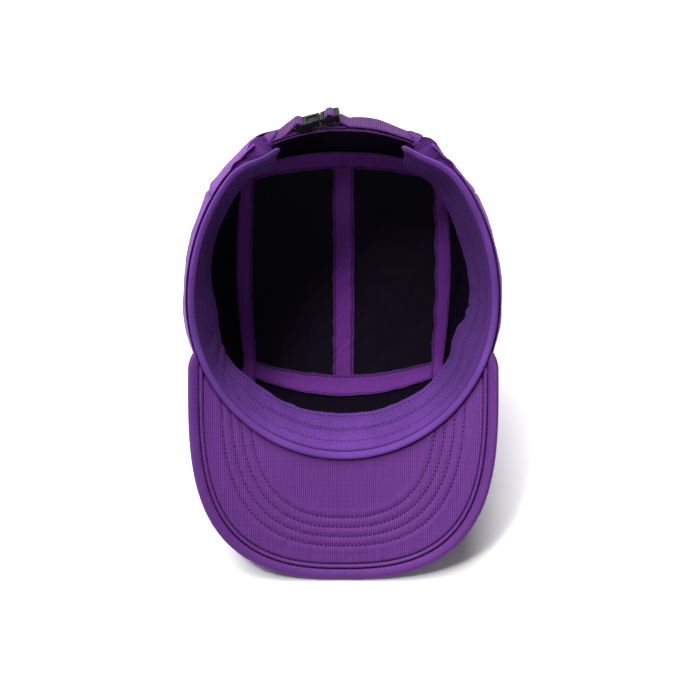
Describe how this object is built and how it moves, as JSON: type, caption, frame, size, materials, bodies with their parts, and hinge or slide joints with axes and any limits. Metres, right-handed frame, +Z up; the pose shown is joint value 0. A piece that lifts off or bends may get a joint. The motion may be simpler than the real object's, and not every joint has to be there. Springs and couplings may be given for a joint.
{
  "type": "five-panel cap",
  "caption": "Soft camp cap with a flat-topped crown, curved stitched peak, sweatband, taped seams and a webbing strap with a side-release buckle.",
  "frame": {"origin": "on the ground below the middle of the cap's bounding box, as it lies tipped forward", "axes": "+Z up from the ground, -Y towards the edge of the peak that touches the ground, +X to the wearer's right"},
  "size_m": [0.1786, 0.2274, 0.1901],
  "materials": {
    "crown_cloth": "purple nylon, faint sheen",
    "peak_cloth": "purple ribbed nylon",
    "sweatband": "matte blue-violet, fine ribs",
    "seam_tape": "smooth woven tape",
    "webbing": "ribbed webbing",
    "buckle_plastic": "black moulded plastic"
  },
  "bodies": {
    "root": {"front_panel": "crown_cloth", "side_panel_left": "crown_cloth", "side_panel_right": "crown_cloth", "back_panel": "crown_cloth", "top_panel_left": "crown_cloth", "top_panel_right": "crown_cloth", "seam_tape_left": "seam_tape", "seam_tape_right": "seam_tape", "seam_tape_front": "seam_tape", "seam_tape_back": "seam_tape", "seam_tape_centre": "seam_tape", "sweatband": "sweatband", "peak": "peak_cloth", "peak_under_panel": "peak_cloth", "strap_inner_webbing": "webbing", "strap_adjuster_webbing": "webbing", "strap_anchor_webbing": "webbing", "strap_loop_left": "crown_cloth", "strap_loop_right": "crown_cloth", "buckle_socket": "buckle_plastic", "buckle_adjuster": "buckle_plastic"}
  },
  "joints": []
}
